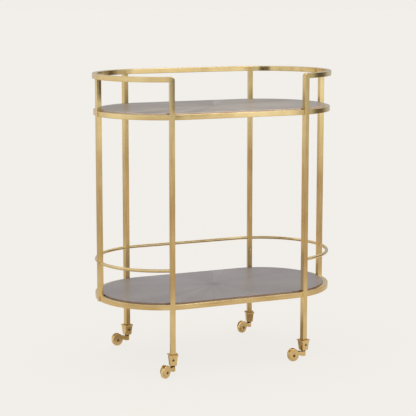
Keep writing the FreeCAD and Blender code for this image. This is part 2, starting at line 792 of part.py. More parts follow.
def castor_wheel(corner):
    """Solid wheel with a rounded tread and dished faces, turning about local Y."""
    bore = "dims.axle_radius + dims.running_gap"
    hub, rim, edge = "dims.wheel_hub_radius", "dims.wheel_rim_inner", "dims.wheel_radius"
    slope, web, half = "dims.wheel_dish_slope", "dims.wheel_web_half", "dims.wheel_half_width"
    face = [
        (bore, half),
        (hub, half),
        (f"{hub} + {slope}", web),
        (f"{rim} - {slope}", web),
        (rim, half),
        (edge, half),
    ]
    profile = face + [(radius, f"-{height}") for radius, height in reversed(face)]
    body = turned(f"{corner}_castor_wheel", profile, "XY_Plane")
    tread = number(edge)
    fillet(body, "dims.wheel_edge_radius", lambda rim_edge: rim_edge.BoundBox.XMax > tread - 0.01)
    x, y = axle_xy(corner)
    place(body, x, y, "dims.wheel_radius", number(f"dims.{corner}_trail_angle"))
    keep(body)


def castor_axle(corner):
    """Axle riveted over outside both cheeks, along local Y."""
    shank, head, cheek = "dims.axle_radius", "dims.axle_head_radius", "dims.fork_half_width"
    end = f"{cheek} + dims.axle_head"
    upper = [
        (shank, cheek),
        (head, cheek),
        (head, f"{cheek} + dims.axle_head / 2"),
        (shank, end),
        ("0", end),
    ]
    profile = upper + [(radius, f"-({height})") for radius, height in reversed(upper)]
    body = turned(f"{corner}_castor_axle", profile, "XY_Plane")
    x, y = axle_xy(corner)
    place(body, x, y, "dims.wheel_radius", number(f"dims.{corner}_trail_angle"))
    keep(body)


# ---- the whole trolley -------------------------------------------------------------------------


def build():
    for corner in CORNERS:
        leg_post(corner)
    for side in (-1, 1):
        end_post(side)
        rail_hoop(side)
    rail_rear()
    guard_rod()
    for level in ("lower", "upper"):
        shelf_ring(level)
        shelf_panel(level)
        shelf_tabs(level)
        shelf_screws(level)
    for corner in CORNERS:
        castor_cup(corner)
        castor_pin(corner)
        castor_washer(corner)
        castor_fork(corner)
        castor_wheel(corner)
        castor_axle(corner)
    group("castor_screws", [castor_screw(corner) for corner in CORNERS])
    doc.recompute()


def check():
    """Stop before writing anything if an object failed or a sub-part is not a sound solid."""
    for obj in doc.Objects:
        if "Invalid" in obj.State or "Error" in obj.State:
            raise RuntimeError(f"{obj.Name} failed: {obj.State}")
    for part in parts:
        if part.Shape.isNull() or not part.Shape.isValid() or not part.Shape.Solids:
            raise RuntimeError(f"{part.Label} has no sound shape")


def export():
    os.makedirs("parts", exist_ok=True)
    for part in parts:
        part.Shape.exportStep(f"parts/{part.Label}.step")
        print(f"{part.Label}: {len(part.Shape.Solids)} solid(s), {part.Shape.Volume:.0f} mm3")


build()
check()
export()
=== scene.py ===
"""Oval two-tier serving trolley: brushed brass tube frame, sunburst-veneered shelves, swivel castors.

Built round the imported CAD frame, in metres: +Z is up, the origin is on the floor, the open side is -Y.
The sizes of tubes, rods and panels are read from the frame's own boxes and joints.
"""

import json
import math

import bmesh
import bpy
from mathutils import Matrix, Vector


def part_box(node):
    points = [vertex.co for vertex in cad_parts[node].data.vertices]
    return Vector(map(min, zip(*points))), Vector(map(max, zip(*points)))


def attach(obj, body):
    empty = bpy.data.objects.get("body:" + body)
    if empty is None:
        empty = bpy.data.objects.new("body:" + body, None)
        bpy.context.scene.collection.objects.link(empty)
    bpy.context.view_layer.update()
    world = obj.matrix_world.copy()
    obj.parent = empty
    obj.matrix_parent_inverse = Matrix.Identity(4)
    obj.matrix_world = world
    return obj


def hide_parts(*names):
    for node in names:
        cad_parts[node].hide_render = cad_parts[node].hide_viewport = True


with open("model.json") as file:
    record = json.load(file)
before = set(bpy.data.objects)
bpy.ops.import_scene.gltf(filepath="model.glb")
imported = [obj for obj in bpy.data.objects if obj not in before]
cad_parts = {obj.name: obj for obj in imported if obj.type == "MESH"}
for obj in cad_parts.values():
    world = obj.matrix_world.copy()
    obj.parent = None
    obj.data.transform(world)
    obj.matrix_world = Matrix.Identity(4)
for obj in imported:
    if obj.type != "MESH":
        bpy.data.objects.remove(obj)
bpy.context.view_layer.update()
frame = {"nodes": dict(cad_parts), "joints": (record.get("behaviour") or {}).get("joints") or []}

MM = 0.001

# ---- sizes read from the frame -----------------------------------------------------------------

joints = {j["name"]: j for j in frame["joints"]}
CORNERS = ("front_left", "front_right", "rear_left", "rear_right")
LEVELS = ("lower", "upper")

panel_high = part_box("lower_shelf_panel")[1]
PANEL_RADIUS = panel_high.y
HALF = panel_high.x - panel_high.y  # half of each straight run
rail_low, rail_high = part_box("top_rail_rear")
TUBE = rail_high.z - rail_low.z
RAIL_UNDERSIDE = rail_low.z
POST_RADIUS = rail_high.y - TUBE / 2
RING_RADIUS = -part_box("lower_ring_front")[0].y - TUBE / 2
rod_low, rod_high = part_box("guard_rod_rear")
ROD = rod_high.z - rod_low.z
ROD_HEIGHT = (rod_low.z + rod_high.z) / 2

leg_x, leg_y, _ = joints["front_right_swivel"]["pos_m"]
LEG_TURN = math.atan2(leg_x - HALF, -leg_y)  # how far past the straight a leg stands
QUARTER = math.pi / 2
FULL_TURN = 2 * math.pi

# ---- sizes of the finer shapes -----------------------------------------------------------------

TUBE_CORNER = 1.1 * MM  # radius of the tube's own edges
RAIL_CORNER = 9 * MM  # outer radius where the rail turns down into a front leg
BOARD_EDGE = 0.8 * MM  # radius of the shelf boards' edges
CASTOR_EDGE = 0.25 * MM  # width of the bevel on castor parts and fasteners

WELD_DISTANCE = 0.002 * MM
SLIVER = 0.001 * MM
HARD_EDGE = math.radians(40)

TUBE_EDGE_STEPS = 3
ROD_SIDES = 28
POST_STEPS = 30
STRAIGHT_STEPS = 24
LEG_BEND_STEPS = 8
CORNER_STEPS = 40
HOOP_STEPS = 96
ELBOW_STEPS = 10
BOARD_BEND_STEPS = 56
BOARD_STRAIGHT_STEPS = 16
BOARD_EDGE_STEPS = 4
# rings of points across the board's two faces, as shares of its radius, in the order they are skinned
UNDERSIDE_RINGS = (0, 0.5, 0.9)
TOP_RINGS = (0.96, 0.8, 0.6, 0.4, 0.2, 0)


# ---- mesh making -------------------------------------------------------------------------------


def square_section(side, corner):
    """Rounded square as (outwards, up) pairs, starting inside its lower inner corner."""
    flat = side / 2 - corner
    points = []
    for i, (sx, sy) in enumerate(((-1, -1), (1, -1), (1, 1), (-1, 1))):
        for k in range(TUBE_EDGE_STEPS + 1):
            a = QUARTER * (i + 2 + k / TUBE_EDGE_STEPS)
            points.append((sx * flat + corner * math.cos(a), sy * flat + corner * math.sin(a)))
    return points[1:] + points[:1]


def round_section(diameter):
    """Circle as (outwards, up) pairs."""
    radius = diameter / 2
    turn = FULL_TURN / ROD_SIDES
    return [(radius * math.cos(i * turn), radius * math.sin(i * turn)) for i in range(ROD_SIDES)]


def finish_mesh(name, bm):
    """Weld, face outwards, mark the hard edges, and make the object."""
    bmesh.ops.remove_doubles(bm, verts=bm.verts, dist=WELD_DISTANCE)
    bmesh.ops.dissolve_degenerate(bm, edges=bm.edges, dist=SLIVER)
    bmesh.ops.recalc_face_normals(bm, faces=bm.faces)
    for face in bm.faces:
        face.smooth = True
    for edge in bm.edges:
        edge.smooth = len(edge.link_faces) == 2 and edge.calc_face_angle(0) < HARD_EDGE
    mesh = bpy.data.meshes.new(name)
    bm.to_mesh(mesh)
    bm.free()
    obj = bpy.data.objects.new(name, mesh)
    bpy.context.scene.collection.objects.link(obj)
    weigh_normals(obj)
    return obj


def weigh_normals(obj):
    """Keep flat faces flat in shading, beside rounded edges."""
    weighted = obj.modifiers.new("flat_faces", "WEIGHTED_NORMAL")
    weighted.keep_sharp = True
    weighted.weight = 100  # the largest faces decide


def skin(name, rows, capped=True):
    """Mesh through rows of points, each row a closed loop.

    The UV map "run" holds the metres around a row in U and along the rows in V, for brush marks.
    """
    bm = bmesh.new()
    run = bm.loops.layers.uv.new("run")
    rows = [[Vector(p) for p in row] for row in rows]
    along = [0.0]
    for low, high in zip(rows, rows[1:]):
        steps = [(b - a).length for a, b in zip(low, high)]
        along.append(along[-1] + sum(steps) / len(steps))
    widest = max(rows, key=lambda row: (row[0] - row[len(row) // 2]).length)
    around = [0.0]
    for a, b in zip(widest, widest[1:] + widest[:1]):
        around.append(around[-1] + (b - a).length)
    grid = [[bm.verts.new(p) for p in row] for row in rows]
    for i, (low, high) in enumerate(zip(grid, grid[1:])):
        for k in range(len(low)):
            n = (k + 1) % len(low)
            face = bm.faces.new((low[k], low[n], high[n], high[k]))
            corners = ((around[k], along[i]), (around[k + 1], along[i]),
                       (around[k + 1], along[i + 1]), (around[k], along[i + 1]))
            for loop, place in zip(face.loops, corners):
                loop[run].uv = place
    if capped:
        bm.faces.new(grid[0])
        bm.faces.new(list(reversed(grid[-1])))
    return finish_mesh(name, bm)


def mirrored(rows):
    """Rows made on the right, moved to the left."""
    return [[(-x, y, z) for x, y, z in row] for row in rows]


def fronted(rows):
    """Rows made at the rear, moved to the front."""
    return [[(x, -y, z) for x, y, z in row] for row in rows]


# ---- runs along the oval -----------------------------------------------------------------------


def arc(centre_x, start, end, cope_start, cope_end, count):
    """Stations round an arc: centre, angle, and how many half posts each point stays short of it."""
    stations = []
    for i in range(count + 1):
        t = i / count
        cope = cope_start + (cope_end - cope_start) * t
        stations.append((centre_x, start + (end - start) * t, cope))
    return stations


def run_rows(stations, section, radius, height):
    """Rows of points for a section carried along stations, its ends square to the posts' sides."""
    rows = []
    for centre_x, angle, cope in stations:
        row = []
        for out, up in section:
            rho = radius + out
            a = angle + cope * math.asin(TUBE / 2 / rho)
            row.append((centre_x + rho * math.cos(a), rho * math.sin(a), height + up))
        rows.append(row)
    return rows


def leg_to_leg(cope):
    """Stations along the rear, from the right leg round both bends to the left leg."""
    stations = arc(HALF, QUARTER - LEG_TURN, QUARTER, cope, 0, LEG_BEND_STEPS)
    for i in range(1, STRAIGHT_STEPS):
        stations.append((HALF - 2 * HALF * i / STRAIGHT_STEPS, QUARTER, 0))
    return stations + arc(-HALF, QUARTER, QUARTER + LEG_TURN, 0, -cope, LEG_BEND_STEPS)


def end_to_leg():
    """Stations from the right end post round to the right rear leg."""
    return arc(HALF, 0, QUARTER - LEG_TURN, 1, -1, CORNER_STEPS)


def by_corner(rows, corner):
    """Rows made at the right rear, moved to another corner by mirroring."""
    if corner.endswith("left"):
        rows = mirrored(rows)
    if corner.startswith("front"):
        rows = fronted(rows)
    return rows


def elbow_rows(section, height, leg_angle):
    """Rail turning down into a front leg, from the leg's top up to the arc. It lies below leg_angle."""
    half = TUBE / 2
    centre = half - RAIL_CORNER
    contour = [(-half, half), (centre, half)]
    for i in range(1, ELBOW_STEPS + 1):
        a = QUARTER * (1 - i / ELBOW_STEPS)
        contour.append((centre + RAIL_CORNER * math.cos(a), centre + RAIL_CORNER * math.sin(a)))
    contour.append((half, -half))
    out_x, out_y = math.cos(leg_angle), math.sin(leg_angle)
    rows = []
    for i, (far, top) in enumerate(contour):
        share = i / (len(contour) - 1)
        row = []
        for out, up in section:
            f = (up + half) / TUBE
            t, z = -half + f * (far + half), -half + f * (top + half)
            rho = POST_RADIUS + out
            rho = math.sqrt(rho * rho - half * half) * (1 - share) + rho * share
            row.append((HALF + rho * out_x + t * out_y, rho * out_y - t * out_x, height + z))
        rows.append(row)
    return rows[::-1]


# ---- materials ---------------------------------------------------------------------------------


def linear(red, green, blue):
    """Scene colour from 0-255 display values."""
    def one(v):
        v /= 255
        return v / 12.92 if v <= 0.04045 else ((v + 0.055) / 1.055) ** 2.4
    return (one(red), one(green), one(blue), 1)


def new_material(name):
    material = bpy.data.materials.new(name)
    material.use_nodes = True
    material.node_tree.nodes.clear()
    return material, material.node_tree


def node(tree, kind, settings=None, **inputs):
    """Shader node with its settings and sockets set.

    A socket goes by its name, with _ for a space, or by i and its number.
    """
    made = tree.nodes.new("ShaderNode" + kind)
    for key, value in (settings or {}).items():
        setattr(made, key, value)
    for key, value in inputs.items():
        numbered = key[0] == "i" and key[1:].isdigit()
        socket = made.inputs[int(key[1:]) if numbered else key.replace("_", " ")]
        if isinstance(value, bpy.types.NodeSocket):
            tree.links.new(value, socket)
        else:
            socket.default_value = value
    return made


def math_node(tree, operation, first, second=0.0, third=0.0):
    return node(tree, "Math", {"operation": operation}, i0=first, i1=second, i2=third).outputs[0]


def mapped(tree, value, low, high, to_low, to_high):
    """Value from low to high carried over to to_low to to_high, and held there beyond them."""
    made = node(tree, "MapRange", i0=value, i1=low, i2=high, i3=to_low, i4=to_high)
    return made.outputs[0]


def noise(tree, vector, scale, detail, roughness):
    made = node(tree, "TexNoise", Vector=vector, Scale=scale, Detail=detail, Roughness=roughness)
    return made.outputs[0]


def stretched(tree, vector, scale):
    return node(tree, "Mapping", i0=vector, i3=scale).outputs[0]


def blended(tree, share, first, second):
    """Colour between first and second."""
    made = node(tree, "Mix", {"data_type": "RGBA"}, i0=share, i6=first, i7=second)
    return made.outputs[2]


def reach(tree, x, y):
    """How far (x, y) is from the middle."""
    flat = node(tree, "CombineXYZ", X=x, Y=y).outputs[0]
    return node(tree, "VectorMath", {"operation": "LENGTH"}, i0=flat).outputs["Value"]


def surface(tree, **inputs):
    shader = node(tree, "BsdfPrincipled", **inputs)
    node(tree, "OutputMaterial", Surface=shader.outputs[0])


# texture scales, in cycles per metre; those of brush marks are across the run and along it
BRUSH_LINES = (2600, 14, 1)
BRUSH_BANDS = (160, 9, 1)
CAST_GRAIN = 1900
CAST_BANDS = 160
BRASS_CLOUDS = 9
STEEL_GRAIN = 2400
STEEL_CLOUDS = 420
BOARD_FIGURE = 8
EDGE_GRAIN = (20, 20, 900)

METAL_RELIEF = 0.03 * MM
WOOD_RELIEF = 0.05 * MM


def brass(name, dark, light, rough, brush, brushed_run):
    """Satin brass under lacquer. A brushed run has fine lines along it, and gloss spread across them."""
    material, tree = new_material(name)
    place = node(tree, "TexCoord").outputs["Object"]
    gloss = {}
    if brushed_run:
        run = node(tree, "UVMap", {"uv_map": "run"}).outputs["UV"]
        lines = noise(tree, stretched(tree, run, BRUSH_LINES), 1, 4, 0.7)
        bands = noise(tree, stretched(tree, run, BRUSH_BANDS), 1, 3, 0.6)
        across = node(tree, "Tangent", {"direction_type": "UV_MAP", "uv_map": "run"})
        gloss = {"Anisotropic": 0.55, "Tangent": across.outputs[0]}
    else:
        lines = noise(tree, place, CAST_GRAIN, 3, 0.6)
        bands = noise(tree, place, CAST_BANDS, 3, 0.6)
    clouds = noise(tree, place, BRASS_CLOUDS, 3, 0.55)
    mottle = math_node(tree, "MULTIPLY", bands, 0.4)
    tone = math_node(tree, "ADD", math_node(tree, "MULTIPLY", clouds, 0.6), mottle)
    tone = mapped(tree, tone, 0.36, 0.64, 0, 1)
    colour = blended(tree, tone, dark, light)
    roughness = mapped(tree, bands, 0.3, 0.7, rough - 0.04, rough + 0.05)
    bump = node(tree, "Bump", Strength=brush, Distance=METAL_RELIEF, Height=lines)
    surface(tree, Base_Color=colour, Metallic=1.0, Roughness=roughness, Normal=bump.outputs[0],
            Coat_Weight=0.3, Coat_Roughness=0.2, **gloss)
    return material


def steel(name, dark, light, rough):
    """Plain or blackened steel, slightly uneven in tone and gloss."""
    material, tree = new_material(name)
    place = node(tree, "TexCoord").outputs["Object"]
    clouds = noise(tree, place, STEEL_CLOUDS, 4, 0.6)
    colour = blended(tree, mapped(tree, clouds, 0.35, 0.65, 0, 1), dark, light)
    roughness = mapped(tree, clouds, 0.3, 0.7, rough - 0.08, rough + 0.1)
    grain = noise(tree, place, STEEL_GRAIN, 2, 0.5)
    bump = node(tree, "Bump", Strength=0.25, Distance=METAL_RELIEF, Height=grain)
    surface(tree, Base_Color=colour, Metallic=1.0, Roughness=roughness, Normal=bump.outputs[0])
    return material


LEAVES = 32  # of veneer on each shelf
LEAF_TURN = FULL_TURN / LEAVES
FIBRES_ALONG, FIBRES_AROUND = 5, 60  # per metre outwards, and per radian
PORES_ALONG, PORES_AROUND = 60, 420
# how much each thing adds to a leaf's tone, and the tones between which it goes from dark to light
LEAF_MIDDLE_TONE = 0.09
FIBRE_TONE = 0.5
FIGURE_TONE = 0.35
DARK_TO_LIGHT = (0.3, 0.75)
# where shades begin and end, from the joint between two leaves and from the shelf's middle, and their depth
JOINT_FADE, JOINT_DEPTH = (0.2 * MM, 0.9 * MM), 0.4
MEETING_FADE, MEETING_DEPTH = (10 * MM, 28 * MM), 0.35
ENDS_DARKEN, ENDS_DEPTH = (120 * MM, 340 * MM), 0.16
PORE_DEPTH = 0.35
VENEER_PORES = linear(58, 50, 50)
VENEER_SHADE = linear(58, 48, 44)


def veneer(name, dark, light, leaf_contrast, sheen_drift, sheen_side):
    """Grey-stained veneer laid as a sunburst: leaves round the shelf's middle, grain running outwards.

    Neighbouring leaves differ by leaf_contrast. The last two arguments paint a sheen: the whole set drifts
    lighter towards one angle, by a given amount.
    """
    material, tree = new_material(name)
    place = node(tree, "TexCoord").outputs["Object"]
    split = node(tree, "SeparateXYZ", Vector=place)
    x, y = split.outputs[0], split.outputs[1]
    angle = math_node(tree, "ARCTAN2", y, x)
    far = reach(tree, x, y)
    turn = math_node(tree, "MULTIPLY", angle, LEAVES / FULL_TURN)
    number = math_node(tree, "FLOOR", math_node(tree, "ADD", turn, LEAVES))
    share = math_node(tree, "FRACT", math_node(tree, "ADD", turn, LEAVES))
    leaf = node(tree, "TexWhiteNoise", {"noise_dimensions": "1D"}, W=number).outputs["Value"]
    # fibres and pores run along the radius: fine across it, long along it
    fibre_place = node(tree, "CombineXYZ", X=math_node(tree, "MULTIPLY", far, FIBRES_ALONG),
                       Y=math_node(tree, "MULTIPLY", angle, FIBRES_AROUND), Z=number)
    fibres = noise(tree, fibre_place.outputs[0], 1, 5, 0.7)
    pore_place = node(tree, "CombineXYZ", X=math_node(tree, "MULTIPLY", far, PORES_ALONG),
                      Y=math_node(tree, "MULTIPLY", angle, PORES_AROUND), Z=number)
    pores = noise(tree, pore_place.outputs[0], 1, 3, 0.6)
    figure = noise(tree, place, BOARD_FIGURE, 3, 0.5)
    # painted sheen: each leaf is lighter the closer it turns towards one side
    leaf_turn = math_node(tree, "MULTIPLY_ADD", number, LEAF_TURN, -sheen_side)
    tone = math_node(tree, "MULTIPLY", math_node(tree, "COSINE", leaf_turn), sheen_drift)
    tone = math_node(tree, "MULTIPLY_ADD", leaf, leaf_contrast, tone)
    tone = math_node(tree, "ADD", tone, LEAF_MIDDLE_TONE - leaf_contrast / 2)
    tone = math_node(tree, "MULTIPLY_ADD", fibres, FIBRE_TONE, tone)
    tone = math_node(tree, "MULTIPLY_ADD", figure, FIGURE_TONE, tone)
    tone = mapped(tree, tone, *DARK_TO_LIGHT, 0, 1)
    colour = blended(tree, tone, dark, light)
    colour = blended(tree, mapped(tree, pores, 0.55, 0.75, 0, PORE_DEPTH), colour, VENEER_PORES)
    # darker places: the joints between leaves, of constant width, the leaves' meeting point, and the ends
    edge = math_node(tree, "MINIMUM", share, math_node(tree, "SUBTRACT", 1.0, share))
    gap = math_node(tree, "MULTIPLY", math_node(tree, "MULTIPLY", edge, far), LEAF_TURN)
    joint = mapped(tree, gap, *JOINT_FADE, JOINT_DEPTH, 0)
    middle = mapped(tree, far, *MEETING_FADE, MEETING_DEPTH, 0)
    ends = mapped(tree, far, *ENDS_DARKEN, 0, ENDS_DEPTH)
    shade = math_node(tree, "MAXIMUM", math_node(tree, "MAXIMUM", joint, middle), ends)
    colour = blended(tree, shade, colour, VENEER_SHADE)
    roughness = mapped(tree, fibres, 0.3, 0.7, 0.34, 0.44)
    height = math_node(tree, "SUBTRACT", math_node(tree, "MULTIPLY", pores, 0.6), joint)
    bump = node(tree, "Bump", Strength=0.25, Distance=WOOD_RELIEF, Height=height)
    surface(tree, Base_Color=colour, Roughness=roughness, Normal=bump.outputs[0], Coat_Weight=0.25,
            Coat_Roughness=0.25)
    return material


def edge_band(name, dark, light):
    """Stained edge of the board, with grain along the edge."""
    material, tree = new_material(name)
    place = node(tree, "TexCoord").outputs["Object"]
    lines = noise(tree, stretched(tree, place, EDGE_GRAIN), 1, 4, 0.6)
    colour = blended(tree, mapped(tree, lines, 0.35, 0.65, 0, 1), dark, light)
    bump = node(tree, "Bump", Strength=0.2, Distance=WOOD_RELIEF, Height=lines)
    surface(tree, Base_Color=colour, Roughness=0.4, Normal=bump.outputs[0], Coat_Weight=0.6,
            Coat_Roughness=0.15)
    return material


TUBE_TONES = (linear(212, 182, 124), linear(240, 216, 160))
ROD_TONES = (linear(204, 178, 126), linear(234, 212, 162))
CASTOR_TONES = (linear(214, 184, 126), linear(240, 212, 154))
SHADED_BRASS_TONES = (linear(96, 72, 38), linear(138, 108, 62))
BLACK_TONES = (linear(58, 48, 40), linear(84, 72, 62))
ZINC_TONES = (linear(140, 138, 134), linear(188, 186, 180))
LOWER_VENEER_TONES = (linear(117, 111, 115), linear(155, 148, 152))
UPPER_VENEER_TONES = (linear(116, 108, 106), linear(155, 146, 142))
# lit and shaded copies of one edge stain: painted shade darkens the lower band, painted light lightens the
# upper one
LOWER_EDGE_SHADED_TONES = (linear(88, 70, 62), linear(122, 102, 90))
UPPER_EDGE_LIT_TONES = (linear(146, 131, 120), linear(176, 160, 147))
# painted sheen: the side towards which the upper shelf's veneer is painted lighter
SHEEN_SIDE = -1.2  # angle towards which the upper shelf's veneer is lighter, in radians

FRAME_BRASS = brass("frame_brass_satin", *TUBE_TONES, rough=0.18, brush=0.3, brushed_run=True)
ROD_BRASS = brass("rod_brass_polished", *ROD_TONES, rough=0.08, brush=0.1, brushed_run=False)
CAST_BRASS = brass("castor_brass_satin", *CASTOR_TONES, rough=0.14, brush=0.06, brushed_run=False)
SHADED_BRASS = brass("castor_brass_painted_shade", *SHADED_BRASS_TONES, rough=0.3, brush=0.15, brushed_run=False)
BLACK_STEEL = steel("swivel_steel_black", *BLACK_TONES, rough=0.42)
ZINC = steel("fastener_zinc", *ZINC_TONES, rough=0.32)
VENEERS = {
    "lower": veneer("lower_veneer_sunburst", *LOWER_VENEER_TONES, 0.12, 0, 0),
    # the upper copy's stronger leaf contrast and its lighter side are painted sheen
    "upper": veneer("upper_veneer_sunburst_painted_sheen", *UPPER_VENEER_TONES, 0.34, 0.15, SHEEN_SIDE),
}
EDGE_BANDS = {
    # one edge stain, as a shaded copy below and a lit copy above
    "lower": edge_band("lower_shelf_edge_band_shaded", *LOWER_EDGE_SHADED_TONES),
    "upper": edge_band("upper_shelf_edge_band_lit", *UPPER_EDGE_LIT_TONES),
}
NODE_MATERIALS = {
    "frame_brass": FRAME_BRASS,
    "castor_brass": CAST_BRASS,
    "swivel_steel": BLACK_STEEL,
    "fastener_steel": ZINC,
}


def slot_of(node_name):
    """Slot that a CAD node takes its finish from."""
    return frame["nodes"][node_name].data.materials[0].name.split(".")[0]


def stand_for(obj, body, *nodes):
    """Piece that replaces CAD nodes and takes their slot's finish."""
    slot = slot_of(nodes[0])
    if not obj.data.materials:
        obj.data.materials.append(NODE_MATERIALS[slot])
    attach(obj, body)
    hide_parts(*nodes)


# ---- frame pieces ------------------------------------------------------------------------------

TUBE_SECTION = square_section(TUBE, TUBE_CORNER)
ROD_SECTION = round_section(ROD)


def post(name, x, y, turn):
    """Upright tube whose outward side faces the turn."""
    low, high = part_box(name)
    out = Vector((math.cos(turn), math.sin(turn), 0))
    side = Vector((-out.y, out.x, 0))
    rows = []
    for i in range(POST_STEPS + 1):
        middle = Vector((x, y, low.z + (high.z - low.z) * i / POST_STEPS))
        rows.append([middle + out * u + side * v for u, v in TUBE_SECTION])
    stand_for(skin(f"visual_{name}", rows), "frame", name)


def guard_rod(name, rows):
    """Round rod in its own, more polished brass."""
    rod = skin(f"visual_{name}", rows)
    rod.data.materials.append(ROD_BRASS)
    stand_for(rod, "frame", name)


for corner in CORNERS:
    leg = joints[f"{corner}_swivel"]["pos_m"]
    centre_x = math.copysign(HALF, leg[0])
    post(f"{corner}_post", leg[0], leg[1], math.atan2(leg[1], leg[0] - centre_x))
post("left_end_post", -HALF - POST_RADIUS, 0, math.pi)
post("right_end_post", HALF + POST_RADIUS, 0, 0)

for level in LEVELS:
    ring_low, ring_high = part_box(f"{level}_ring_rear")
    middle = (ring_low.z + ring_high.z) / 2
    rows = run_rows(leg_to_leg(1), TUBE_SECTION, RING_RADIUS, middle)
    stand_for(skin(f"visual_{level}_ring_rear", rows), "frame", f"{level}_ring_rear")
    stand_for(skin(f"visual_{level}_ring_front", fronted(rows)), "frame", f"{level}_ring_front")
    rows = run_rows(end_to_leg(), TUBE_SECTION, RING_RADIUS, middle)
    for corner in CORNERS:
        name = f"{level}_ring_{corner}"
        stand_for(skin(f"visual_{name}", by_corner(rows, corner)), "frame", name)

rows = run_rows(leg_to_leg(1), ROD_SECTION, POST_RADIUS, ROD_HEIGHT)
guard_rod("guard_rod_rear", rows)
rows = run_rows(end_to_leg(), ROD_SECTION, POST_RADIUS, ROD_HEIGHT)
for corner in CORNERS:
    guard_rod(f"guard_rod_{corner}", by_corner(rows, corner))

rail_middle = RAIL_UNDERSIDE + TUBE / 2
rows = run_rows(leg_to_leg(0), TUBE_SECTION, POST_RADIUS, rail_middle)
stand_for(skin("visual_top_rail_rear", rows), "frame", "top_rail_rear")
front, rear = LEG_TURN - QUARTER, QUARTER - LEG_TURN
rows = elbow_rows(TUBE_SECTION, rail_middle, front)
hoop = arc(HALF, front, rear, 1, 0, HOOP_STEPS)
rows += run_rows(hoop, TUBE_SECTION, POST_RADIUS, rail_middle)
stand_for(skin("visual_top_rail_right", rows), "frame", "top_rail_right")
stand_for(skin("visual_top_rail_left", mirrored(rows)), "frame", "top_rail_left")


# ---- shelves -----------------------------------------------------------------------------------


def racetrack(radius, height):
    """Closed oval of points with two half circles and two straights."""
    points = []
    for side in (1, -1):
        for i in range(BOARD_BEND_STEPS + 1):
            a = QUARTER * (2 * i / BOARD_BEND_STEPS - side)
            points.append((side * HALF + radius * math.cos(a), radius * math.sin(a), height))
        for i in range(1, BOARD_STRAIGHT_STEPS):
            points.append((side * HALF * (1 - 2 * i / BOARD_STRAIGHT_STEPS), side * radius, height))
    return points


def shelf(level):
    """Board with softened edges. Its sides carry the edge band."""
    name = f"{level}_shelf_panel"
    low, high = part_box(name)
    rows = [racetrack(PANEL_RADIUS * share, low.z) for share in UNDERSIDE_RINGS]
    for z, start in ((low.z + BOARD_EDGE, -1), (high.z - BOARD_EDGE, 0)):
        for i in range(BOARD_EDGE_STEPS + 1):
            a = QUARTER * (start + i / BOARD_EDGE_STEPS)
            radius = PANEL_RADIUS - BOARD_EDGE + BOARD_EDGE * math.cos(a)
            rows.append(racetrack(radius, z + BOARD_EDGE * math.sin(a)))
    rows += [racetrack(PANEL_RADIUS * share, high.z) for share in TOP_RINGS]
    board = skin(f"visual_{name}", rows, capped=False)
    board.data.materials.append(VENEERS[level])
    board.data.materials.append(EDGE_BANDS[level])
    for face in board.data.polygons:
        faces_up_or_down = abs(face.normal.z) > 0.5
        face.material_index = 0 if faces_up_or_down else 1
    stand_for(board, "frame", name)


for level in LEVELS:
    shelf(level)


# ---- castors -----------------------------------------------------------------------------------


def cad_node_looks(name):
    """Keep a CAD node's shape, with softened edges and its slot's material, darkened with painted shade on
    small hardware.
    """
    obj = frame["nodes"][name]
    slot = slot_of(name)
    # axles and screws take brass darkened all over: painted shade of their slots and hollows
    small = name.endswith("_axle") or name == "castor_screws"
    obj.data.materials[0] = SHADED_BRASS if small else NODE_MATERIALS[slot]
    weld = obj.modifiers.new("weld", "WELD")
    weld.merge_threshold = SLIVER
    soft = obj.modifiers.new("soft_edges", "BEVEL")
    soft.width = CASTOR_EDGE
    soft.segments = 2
    soft.limit_method = "ANGLE"
    soft.angle_limit = HARD_EDGE
    soft.use_clamp_overlap = True
    weigh_normals(obj)


kept = [name for name, obj in frame["nodes"].items() if not obj.hide_render]
for name in kept:
    cad_node_looks(name)


# ---- floor, light, camera ----------------------------------------------------------------------

BACKGROUND = linear(241, 238, 233)

# what the room looks like to the brass at eye level: turn in degrees from the open front, towards the
# left, and brightness
ROOM = [
    (-180, 0.62), (-150, 0.48), (-125, 0.5), (-111, 0.46), (-101, 0.2), (-93, 0.03), (-79, 0.03),
    (-72, 0.2), (-65, 0.56), (-52, 0.6), (-42, 0.7), (-30, 1.12), (-17, 1.15), (-7, 0.75), (7, 0.68),
    (16, 0.88), (70, 0.94), (95, 1.04), (150, 0.76), (180, 0.62),
]
SIDE_WALLS = (0.97, 1.0, 1.01)
REAR_WALLS = (0.98, 0.94, 0.88)
REAR_FROM = 130  # degrees from the open front
UPPER_WALLS = (0.8, 0.8, 0.78, 1)
CEILING = (1.2, 1.19, 1.16, 1)
# upward parts of a direction of length 1, between which one gives way to the next
UPPER_WALLS_START = (0.1, 0.5)
CEILING_START = (0.5, 0.85)
# what the floor looks like to the brass, with a painted shadow beneath the trolley
UNDER_TROLLEY_SHADOW = (0.30, 0.235, 0.17, 1)
NEAR_FLOOR = (0.70, 0.64, 0.575, 1)
FAR_FLOOR = (0.50, 0.42, 0.34, 1)
FLOOR_RADIUS = 60
FLOOR_SIDES = 96
FLOOR_PAINT = (0.06, 0.0587, 0.056, 1)
FLOOR_GLOW = (0.928, 0.94)  # to the camera, near the trolley and far off
# distances in metres from the trolley's outline, and from its middle, between which the floor changes
SHADE_ENDS = (0.1, 0.24)
NEAR_ENDS = (0.7, 1.8)
GLOW_ENDS = (1.5, 6)
WALLS_START = (4, 7)


def room_light(tree, x, y):
    """Brightness of the walls in the direction (x, y)."""
    to_left = math_node(tree, "MULTIPLY", x, -1)
    to_front = math_node(tree, "MULTIPLY", y, -1)
    turn = math_node(tree, "ARCTAN2", to_left, to_front)
    ramp = node(tree, "ValToRGB", i0=mapped(tree, turn, -math.pi, math.pi, 0, 1))
    stops = ramp.color_ramp.elements
    while len(stops) < len(ROOM):
        stops.new(0.5)
    for stop, (degrees, level) in zip(stops, ROOM):
        stop.position = degrees / 360 + 0.5
        tint = REAR_WALLS if abs(degrees) > REAR_FROM else SIDE_WALLS
        stop.color = [level * part for part in tint] + [1]
    return ramp.outputs[0]


